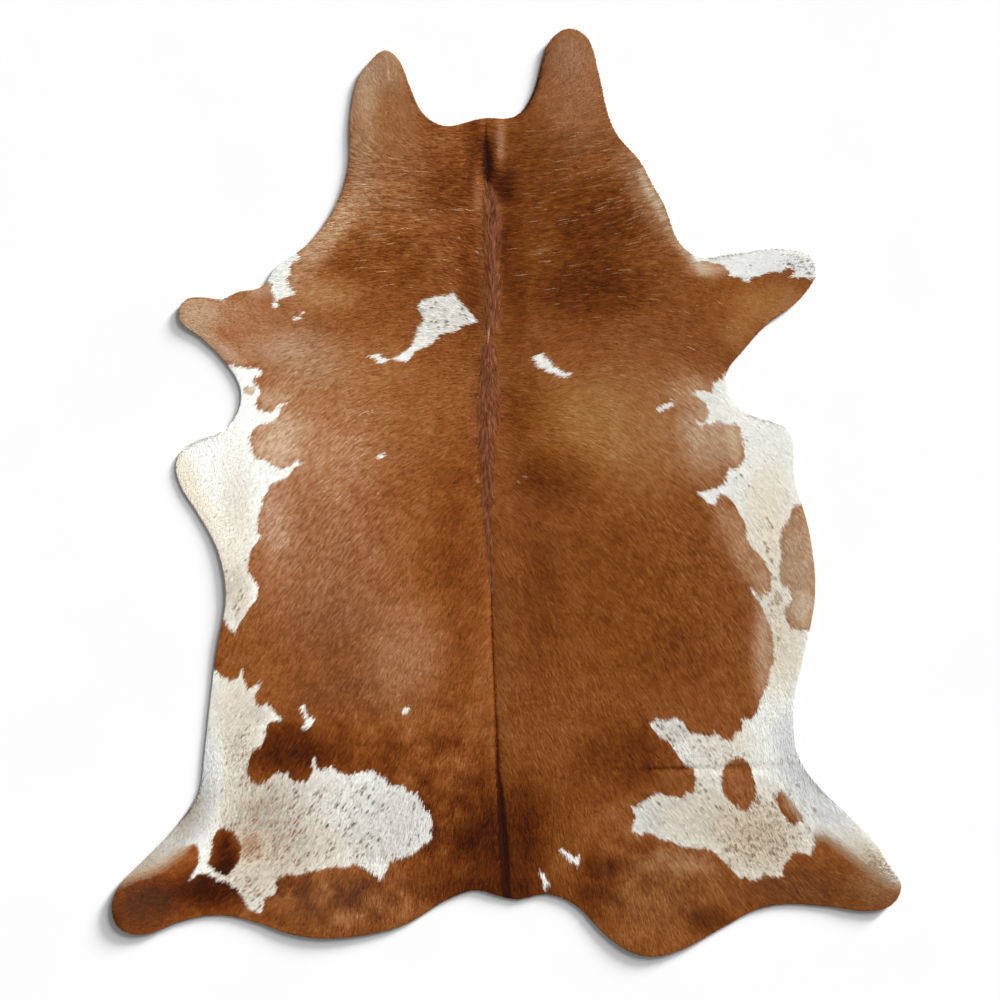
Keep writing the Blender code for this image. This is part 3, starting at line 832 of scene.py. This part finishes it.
def coatColour(bench, strand):                 # strand is each hair's own luck, 0 to 1
    place = bench.place()
    cloud = bench.noise(coatNoise["cloud"], 3.0, place) - 0.5
    lump = bench.noise(coatNoise["lump"], 2.0, place) - 0.5
    lock = bench.noise(coatNoise["lock"], 2.0, place) - 0.5
    tone, hue, fade = bench.parts(bench.attribute("brownShade", "Vector"))
    dim, whiteHue, fleckBrown = bench.parts(bench.attribute("whiteShade", "Vector"))
    white, fleck = bench.attribute("white"), bench.attribute("fleck")
    silver, mane = bench.attribute("silver"), bench.attribute("mane")
    ripple = bench.attribute("ripple")

    level = 0.5 + 0.5 * tone + cloud * coatNoise["cloudTone"] + lump * coatNoise["lumpTone"]
    level = level + lock * coatNoise["lockTone"] + ripple * 0.06 + (strand - 0.5) * 0.1
    brown = bench.node("ShaderNodeValToRGB", {"stops": coatPaint["brown"]}, {0: level}, "Color")
    brown = bench.between(hue, brown, coatPaint["pink"], "MULTIPLY")
    brown = bench.between(0.0 - hue, brown, coatPaint["golden"], "MULTIPLY")
    level = level + ripple * 0.1
    faded = bench.node("ShaderNodeValToRGB", {"stops": coatPaint["faded"]}, {0: level}, "Color")
    brown = bench.between(fade, brown, faded)
    spine = bench.between(strand * 0.7 + ripple * 0.4 + 0.05, coatPaint["mane"], coatPaint["maneLight"])
    brown = bench.between(mane * 0.75, brown, spine)
    # pale locks; on the neck partly painted glints of sheen
    brown = bench.between(silver * 0.6, brown, coatPaint["silver"])

    pale = bench.between(whiteHue, coatPaint["white"], coatPaint["yellow"])
    pale = bench.between(whiteHue - 1, pale, coatPaint["orange"])
    pale = bench.between(0.0 - whiteHue, pale, coatPaint["blue"])
    pale = bench.between(dim + strand * 0.12 + lock * 0.3 - ripple * 0.12 + 0.04, pale, coatPaint["dim"])
    spot = bench.between(fleckBrown, coatPaint["greyFleck"], coatPaint["brownFleck"])
    spot = bench.between(fleckBrown - 1.2, spot, coatPaint["orangeFleck"])
    pale = bench.between(fleck * 0.95, pale, spot)
    coat = bench.between(white * 2, brown, coatPaint["border"])
    coat = bench.between(white * 2 - 1, coat, pale)
    return bench.between(bench.attribute("shadow"), coat, paint(0, 0, 0))


def newMaterial(name):
    material = bpy.data.materials.new(name)
    material.use_nodes = True
    material.node_tree.nodes.clear()
    return material, Bench(material.node_tree)


def finishMaterial(bench, inputs):
    shader = bench.node("ShaderNodeBsdfPrincipled", {}, inputs)
    bench.node("ShaderNodeOutputMaterial", {}, {"Surface": shader})


hairLook = {"roughness": 0.6, "specular": 0.1}


def hairMaterial():
    material, bench = newMaterial("hair")
    colour = coatColour(bench, bench.attribute("strand"))
    finishMaterial(bench, {
        "Base Color": colour,
        "Roughness": hairLook["roughness"],
        "Specular IOR Level": hairLook["specular"],
    })
    return material


def coatBedMaterial():                         # the lowest hair, close to the skin, darkened by painted shade from the hair above
    material, bench = newMaterial("coat_bed")
    place = bench.place()
    strand = bench.noise(420.0, 1.0, place)
    # mixed towards dark brown: painted shade between the hairs
    colour = bench.between(0.3, coatColour(bench, strand), paint(40, 22, 12))
    finishMaterial(bench, {"Base Color": colour, "Roughness": 0.8, "Specular IOR Level": 0.1})
    return material


suedeLook = {
    "pale": paint(196, 172, 140),
    "worn": paint(168, 142, 110),
    "nap": paint(214, 194, 166),
    "roughness": 0.92,
    "specular": 0.2,
}


def suedeMaterial():                           # the flesh side, buffed
    material, bench = newMaterial("suede")
    place = bench.place()
    cloud = bench.noise(6.0, 4.0, place)
    nap = bench.noise(260.0, 3.0, place)
    colour = bench.between(cloud, suedeLook["pale"], suedeLook["worn"])
    colour = bench.between(nap * 0.6, colour, suedeLook["nap"])
    bump = bench.node("ShaderNodeBump", {}, {"Strength": 0.5, "Distance": 0.0006, "Height": nap}, "Normal")
    finishMaterial(bench, {
        "Base Color": colour,
        "Roughness": suedeLook["roughness"],
        "Specular IOR Level": suedeLook["specular"],
        "Normal": bump,
    })
    return material


def cutEdgeMaterial():                         # the leather where the knife went
    material, bench = newMaterial("cut_edge")
    place = bench.place()
    fibre = bench.noise(700.0, 2.0, place)
    colour = bench.between(fibre, paint(112, 90, 66), paint(156, 132, 102))
    finishMaterial(bench, {"Base Color": colour, "Roughness": 0.85, "Specular IOR Level": 0.2})
    return material


coatBed = coatBedMaterial()
cutEdge = cutEdgeMaterial()
suede = suedeMaterial()
hair = hairMaterial()
print("materials ready")

# ---- the leather ----

hideLook = {
    "weld": 0.01 * mm,
    "levels": 1,                               # of subdivision
    "leatherShare": 0.93,                      # of the solid's thickness, with the hair's lowest part
    "topSlope": 0.35,                          # how far up a normal points where the top is lowered
    "coatSlope": 0.5,                          # how far up a face's normal points under the coat
    "fleshSlope": -0.8,                        # and on the flesh side; the cut edge is between them
}


def rested(name, mesh):
    piece = bpy.data.objects.new(name, mesh)
    bpy.context.scene.collection.objects.link(piece)
    return piece


def frozen(piece):                             # the piece's mesh with its modifiers worked in
    graph = bpy.context.evaluated_depsgraph_get()
    mesh = bpy.data.meshes.new_from_object(piece.evaluated_get(graph), depsgraph=graph)
    piece.modifiers.clear()
    piece.data = mesh
    return piece


def coordinates(mesh):
    found = np.empty(len(mesh.vertices) * 3, np.float32)
    mesh.vertices.foreach_get("co", found)
    return found.reshape(-1, 3).astype(float)


def vertexNormals(mesh):
    found = np.empty(len(mesh.vertices) * 3, np.float32)
    mesh.vertex_normals.foreach_get("vector", found)
    return found.reshape(-1, 3)


def treeOf(mesh):
    return BVHTree.FromPolygons([v.co for v in mesh.vertices], [p.vertices[:] for p in mesh.polygons])


def lowerTop(mesh):                            # thins the solid from above, to leave room for the hair
    tree = treeOf(mesh)
    normals = vertexNormals(mesh)
    for vertex, normal in zip(mesh.vertices, normals):
        if normal[2] < hideLook["topSlope"]:
            continue
        below = tree.ray_cast(vertex.co - Vector((0, 0, 0.05 * mm)), Vector((0, 0, -1)))[0]
        if below:
            vertex.co.z = below.z + (vertex.co.z - below.z) * hideLook["leatherShare"]


def makeHide():
    work = bmesh.new()
    work.from_mesh(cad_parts["hide"].data)
    bmesh.ops.remove_doubles(work, verts=work.verts, dist=hideLook["weld"])
    mesh = bpy.data.meshes.new("rug.leather")
    work.to_mesh(mesh)
    work.free()
    lowerTop(mesh)
    hide = rested("rug.leather", mesh)
    finer = hide.modifiers.new("finer", "SUBSURF")
    finer.levels = finer.render_levels = hideLook["levels"]
    frozen(hide)
    mesh = hide.data
    mesh.materials.clear()
    for material in (coatBed, cutEdge, suede):
        mesh.materials.append(material)
    slope = np.empty(len(mesh.polygons) * 3, np.float32)
    mesh.polygons.foreach_get("normal", slope)
    rise = slope.reshape(-1, 3)[:, 2]
    slots = np.where(rise > hideLook["coatSlope"], 0, np.where(rise > hideLook["fleshSlope"], 1, 2))
    mesh.polygons.foreach_set("material_index", slots.astype(np.int32))
    mesh.shade_smooth()
    return hide


hide = makeHide()
print("leather:", len(hide.data.polygons), "faces")

# ---- the hair ----

hairLayers = {
    # length and width of a hair in mm, and how far its root and tip stand off the leather in mm
    "rug.undercoat": {"length": 12.0, "width": 1.9, "rise": (0.3, 0.5), "seed": 11},
    "rug.coat_lower": {"length": 12.0, "width": 1.6, "rise": (0.4, 0.7), "seed": 23},
    "rug.coat_middle": {"length": 12.0, "width": 1.5, "rise": (0.5, 0.9), "seed": 37},
    "rug.coat_upper": {"length": 12.0, "width": 1.3, "rise": (0.65, 1.1), "seed": 53},
    "rug.guard_hair": {"length": 12.0, "width": 1.2, "rise": (0.8, 1.3), "seed": 71},
}
hairHabit = {
    "perSquareMetre": 76000.0,                 # in each layer
    "overhang": 1.6 * mm,                      # past the rug's outline at most
    "shortest": 2.5 * mm,
    "trims": 4,
    "trimTo": 0.7,
    "floorGap": 0.5 * mm,                      # no tip hangs lower
    "colourAt": 0.42,                          # of its length
    "turn": 7.0,                               # degrees, from hair to hair
    "sway": 9.0,                               # degrees, from lock to lock
    "roll": 1.25,
    "smooth": 0.85,                            # how much evener white hair and short hair lie
    "lockSize": 90.0,                          # noise scale of a lock
    "marked": {"over": 0.3, "length": 0.55, "stand": 1.7},     # hairs of a fleck lie short on top
    "rimReach": 10 * mm,                       # hair that points outwards sticks out level there
    "steep": 0.34,                             # the slope that counts as the rim's
    "rimShadow": 0.6,                          # on it, for hair that points inwards
    "bedShadow": 0.1,                          # and between the hairs
    "shorter": 0.45,                           # where the chart calls the coat short
    "wider": 0.5,                              # its hairs there, which still cover the skin
    "tousled": 2.0,                            # and how much more they turn from each other
}


def geometryTree(name, inputs):
    tree = bpy.data.node_groups.new(name, "GeometryNodeTree")
    tree.interface.new_socket("Geometry", in_out="INPUT", socket_type="NodeSocketGeometry")
    for label, kind in inputs.items():
        tree.interface.new_socket(label, in_out="INPUT", socket_type="NodeSocket" + kind)
    tree.interface.new_socket("Geometry", in_out="OUTPUT", socket_type="NodeSocketGeometry")
    bench = Bench(tree)
    start = tree.nodes.new("NodeGroupInput")
    return tree, bench, {socket.name: Wire(bench, socket) for socket in start.outputs if socket.name}


def applyTree(piece, tree, values):
    modifier = piece.modifiers.new(tree.name, "NODES")
    modifier.node_group = tree
    for item in tree.interface.items_tree:
        if item.in_out == "INPUT" and item.name in values:
            modifier[item.identifier] = values[item.name]
    return frozen(piece)


def rootTree():                                # strews roots over the hair side, with what numpy needs
    tree, bench, given = geometryTree("roots", {"Density": "Float", "Seed": "Int", "Lock Scale": "Float"})
    normal = bench.node("GeometryNodeInputNormal")
    rise = bench.parts(normal)[2]
    top = bench.node("GeometryNodeDeleteGeometry", {"domain": "FACE"},
                     {"Geometry": given["Geometry"], "Selection": (0.0 - rise) > -0.25})
    faces = bench.node("GeometryNodeInputMeshEdgeNeighbors")
    lone = (0.0 - faces) > -1.5
    border = bench.node("GeometryNodeSeparateGeometry", {"domain": "EDGE"},
                        {"Geometry": top, "Selection": lone})
    scatter = bench.tree.nodes.new("GeometryNodeDistributePointsOnFaces")
    for name, wire in (("Mesh", top), ("Density", given["Density"]), ("Seed", given["Seed"])):
        tree.links.new(wire.socket, scatter.inputs[name])
    near = bench.tree.nodes.new("GeometryNodeProximity")
    near.target_element = "EDGES"
    tree.links.new(border.socket, near.inputs[0])
    place = bench.node("GeometryNodeInputPosition")
    lock = bench.noise(given["Lock Scale"], 1.0, place, "Color")
    points = Wire(bench, scatter.outputs["Points"])
    kept = {
        "surfaceNormal": Wire(bench, scatter.outputs["Normal"]),
        "edgePoint": Wire(bench, near.outputs["Position"]),
        "lock": lock,
    }
    for name, value in kept.items():
        points = bench.node("GeometryNodeStoreNamedAttribute", {"data_type": "FLOAT_VECTOR"},
                            {"Geometry": points, "Name": name, "Value": value})
    vertices = bench.node("GeometryNodePointsToVertices", {}, {0: points})
    bench.node("NodeGroupOutput", {}, {0: vertices})
    return tree


def hairTree():                                # one tapering leaf of hair on each root
    inputs = {"Root Rise": "Float", "Tip Rise": "Float", "Finish": "Material"}
    tree, bench, given = geometryTree("hairs", inputs)
    leaf = bench.node("GeometryNodeMeshCircle", {"fill_type": "NGON"}, {"Vertices": 3, "Radius": 1.0})
    leaf = bench.node("GeometryNodeTransform", {}, {
        "Geometry": leaf, "Scale": (2 / 3, 1 / math.sqrt(3), 1), "Translation": (1 / 3, 0, 0)})
    along = bench.parts(bench.node("GeometryNodeInputPosition"))[0]
    height = given["Root Rise"] + (along > 0.5) * (given["Tip Rise"] - given["Root Rise"])
    offset = bench.node("ShaderNodeCombineXYZ", {}, {"Z": height})
    size = bench.node("GeometryNodeInputNamedAttribute", {"data_type": "FLOAT_VECTOR"}, {"Name": "size"})
    ahead = bench.node("GeometryNodeInputNamedAttribute", {"data_type": "FLOAT_VECTOR"}, {"Name": "ahead"})
    up = bench.node("GeometryNodeInputNamedAttribute", {"data_type": "FLOAT_VECTOR"}, {"Name": "up"})
    leaf = bench.node("GeometryNodeSetPosition", {}, {"Geometry": leaf, "Offset": offset})
    turned = bench.node("FunctionNodeAlignRotationToVector", {"axis": "X"}, {"Vector": ahead})
    turned = bench.node("FunctionNodeAlignRotationToVector", {"axis": "Z", "pivot_axis": "X"},
                        {"Rotation": turned, "Vector": up})
    hairs = bench.node("GeometryNodeInstanceOnPoints", {}, {
        "Points": given["Geometry"], "Instance": leaf, "Rotation": turned, "Scale": size})
    real = bench.node("GeometryNodeRealizeInstances", {}, {0: hairs})
    done = bench.node("GeometryNodeSetMaterial", {}, {"Geometry": real, "Material": given["Finish"]})
    bench.node("NodeGroupOutput", {}, {0: done})
    return tree


def readVectors(mesh, name):
    found = np.empty(len(mesh.vertices) * 3, np.float32)
    mesh.attributes[name].data.foreach_get("vector", found)
    return found.reshape(-1, 3).astype(float)


hideTree = treeOf(hide.data)


def overHide(places):
    down, above = Vector((0, 0, -1)), 1.0
    return np.array([hideTree.ray_cast(Vector((x, y, above)), down)[0] is not None for x, y in places], bool)


def steepness(normals):                        # 0 where the leather is level, 1 on the rim's slope
    return np.clip(np.hypot(normals[:, 0], normals[:, 1]) / hairHabit["steep"], 0, 1)


def comb(mesh, layer, dice):                   # gives each root its direction, size and colour
    roots = coordinates(mesh)
    count = len(roots)
    heading = headingOf(onChart(roots))
    length = layer["length"] * mm * dice.uniform(0.75, 1.2, count)
    reach = hairHabit["colourAt"] * length[:, None]
    coat = coatAt(roots[:, :2] + reach * np.stack([np.cos(heading), np.sin(heading)], 1), dice)
    lock = readVectors(mesh, "lock") - 0.5
    inMane = coat["mane"] > 0.5
    fleck = coat["fleck"] * coat["white"] + coat["silver"] * (1 - coat["white"])
    marked = (fleck > hairHabit["marked"]["over"]) & ~inMane
    length *= np.where(inMane, 1.4, np.where(marked, hairHabit["marked"]["length"], 1.0))
    length *= 1 - hairHabit["shorter"] * coat["short"]
    calm = np.where(inMane, 0.5, 1.0)
    heading = coat["heading"] + np.radians(hairHabit["sway"]) * 2 * lock[:, 0] * calm
    loose = calm + hairHabit["tousled"] * coat["short"]
    heading += np.radians(hairHabit["turn"]) * dice.normal(size=count) * loose
    flat = np.stack([np.cos(heading), np.sin(heading)], 1)
    toEdge = readVectors(mesh, "edgePoint")[:, :2] - roots[:, :2]
    edgeGap = np.maximum(np.hypot(*toEdge.T), 0.01 * mm)
    closing = (flat * toEdge).sum(1) / edgeGap
    room = (edgeGap + hairHabit["overhang"]) / np.maximum(closing, 0.35)
    length = np.where(closing > -0.3, np.minimum(length, room), length)
    for _ in range(hairHabit["trims"]):        # near a corner the nearest edge isn't the one ahead
        near = np.flatnonzero((edgeGap < length) & (length > hairHabit["shortest"]))
        tips = roots[near, :2] + flat[near] * (length[near] - hairHabit["overhang"])[:, None]
        length[near] *= np.where(overHide(tips), 1.0, hairHabit["trimTo"])
    length = np.maximum(length, hairHabit["shortest"])
    normal = readVectors(mesh, "surfaceNormal")
    inwards = closing < -0.3
    coat["shadow"] = hairHabit["rimShadow"] * steepness(normal) * inwards
    level = np.clip(1.6 - edgeGap / hairHabit["rimReach"], 0, 1) * ~inwards
    normal = normal * (1 - level)[:, None] + level[:, None] * (0, 0, 1)
    normal /= np.linalg.norm(normal, axis=1)[:, None]
    ahead = np.concatenate([flat, np.zeros((count, 1))], 1)
    ahead -= normal * (ahead * normal).sum(1)[:, None]
    ahead /= np.linalg.norm(ahead, axis=1)[:, None]
    ahead[:, 2] = np.maximum(ahead[:, 2], (hairHabit["floorGap"] - roots[:, 2]) / length)
    ahead /= np.linalg.norm(ahead, axis=1)[:, None]
    aside = np.cross(normal, ahead)
    smooth = np.maximum(coat["white"], coat["short"]) * hairHabit["smooth"]
    roll = np.radians(hairHabit["roll"]) * (dice.normal(size=count) + 2 * lock[:, 1]) * (1 - smooth)
    up = normal * np.cos(roll)[:, None] + aside * np.sin(roll)[:, None]
    width = layer["width"] * mm * dice.uniform(0.7, 1.3, count) * (1 + hairHabit["wider"] * coat["short"])
    stand = (0.95 + dice.uniform(-0.35, 0.35, count) * (1 - smooth)) * (1 - 0.5 * coat["short"])
    stand *= np.where(marked, hairHabit["marked"]["stand"], 1.0)
    store(mesh, "ahead", ahead)
    store(mesh, "up", up)
    store(mesh, "size", np.stack([length, width, stand], 1))
    store(mesh, "strand", dice.random(count))
    storeCoat(mesh, coat)
    for name in ("lock", "edgePoint", "surfaceNormal"):
        mesh.attributes.remove(mesh.attributes[name])


def mapFlat(mesh):                             # the rug seen from above, so that the map is its picture
    places = coordinates(mesh)[:, :2]
    corners = np.empty(len(mesh.loops), np.int32)
    mesh.loops.foreach_get("vertex_index", corners)
    low, high = np.array(hideLow[:2]) - 0.01, np.array(hideHigh[:2]) + 0.01
    spread = (places[corners] - low) / (high - low)
    mesh.uv_layers.new(name="OFBake").data.foreach_set("uv", spread.astype(np.float32).ravel())


def makeHair():
    roots, hairs = rootTree(), hairTree()
    pieces = []
    for name, layer in hairLayers.items():
        piece = rested(name, hide.data.copy())
        applyTree(piece, roots, {
            "Density": hairHabit["perSquareMetre"],
            "Seed": layer["seed"],
            "Lock Scale": hairHabit["lockSize"],
        })
        comb(piece.data, layer, np.random.default_rng(layer["seed"]))
        rise = layer["rise"]
        applyTree(piece, hairs, {"Root Rise": rise[0] * mm, "Tip Rise": rise[1] * mm, "Finish": hair})
        mapFlat(piece.data)
        pieces.append(piece)
        print(name, len(piece.data.polygons), "hairs")
    return pieces


# The hair comes before the leather is painted, so that no hair inherits the leather's colours.
hairPieces = makeHair()
bedCoat = coatAt(coordinates(hide.data)[:, :2], np.random.default_rng(5))
bedCoat["shadow"] = hairHabit["bedShadow"] * steepness(vertexNormals(hide.data))
storeCoat(hide.data, bedCoat)

for piece in [hide, *hairPieces]:
    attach(piece, "root")
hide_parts("hide")

# ---- studio ----

studio = {
    "floor": 12.0,
    # Each lamp: its direction and height in degrees, its strength, and how many degrees it spans.
    "lamps": {"key": (45, 9, 11.9, 9), "fill": (45, 22, 3.6, 26)},
    "sky": 0.25,
    "cameraHeight": 5.43,
    "cameraPixel": (500.0, 500.0),             # the chart's pixel in the middle of the picture
    "lens": 85.0,
}


def makeStudio():
    half = studio["floor"] / 2
    floorMesh = bpy.data.meshes.new("floor")
    corners = [(-half, -half, 0), (half, -half, 0), (half, half, 0), (-half, half, 0)]
    floorMesh.from_pydata([(x, y, -0.2 * mm) for x, y, _ in corners], [], [(0, 1, 2, 3)])
    material, bench = newMaterial("floor")
    place = bench.place()
    grain = bench.noise(3.0, 4.0, place)
    colour = bench.between(grain, paint(226, 226, 226), paint(230, 230, 230))
    finishMaterial(bench, {"Base Color": colour, "Roughness": 0.9, "Specular IOR Level": 0.1})
    floorMesh.materials.append(material)
    rested("floor", floorMesh)

    for name, (turn, rise, strength, span) in studio["lamps"].items():
        turn, rise = math.radians(turn), math.radians(rise)
        toLamp = Vector((math.cos(turn) * math.cos(rise), math.sin(turn) * math.cos(rise), math.sin(rise)))
        lampData = bpy.data.lights.new(name, "SUN")
        lampData.energy = strength
        lampData.angle = math.radians(span)
        rested(name, lampData).rotation_euler = toLamp.to_track_quat("Z", "Y").to_euler()

    world = bpy.data.worlds.new("studio")
    world.use_nodes = True
    sky = world.node_tree.nodes["Background"]
    sky.inputs["Color"].default_value = (1.0, 1.0, 1.0, 1.0)
    sky.inputs["Strength"].default_value = studio["sky"]
    bpy.context.scene.world = world
    bpy.context.scene.view_settings.view_transform = "Standard"

    cameraData = bpy.data.cameras.new("camera")
    cameraData.lens = studio["lens"]
    camera = rested("camera", cameraData)
    x, y = onRug(studio["cameraPixel"])[0]
    camera.location = (x, y, studio["cameraHeight"])
    bpy.context.scene.camera = camera


makeStudio()
print("studio ready")
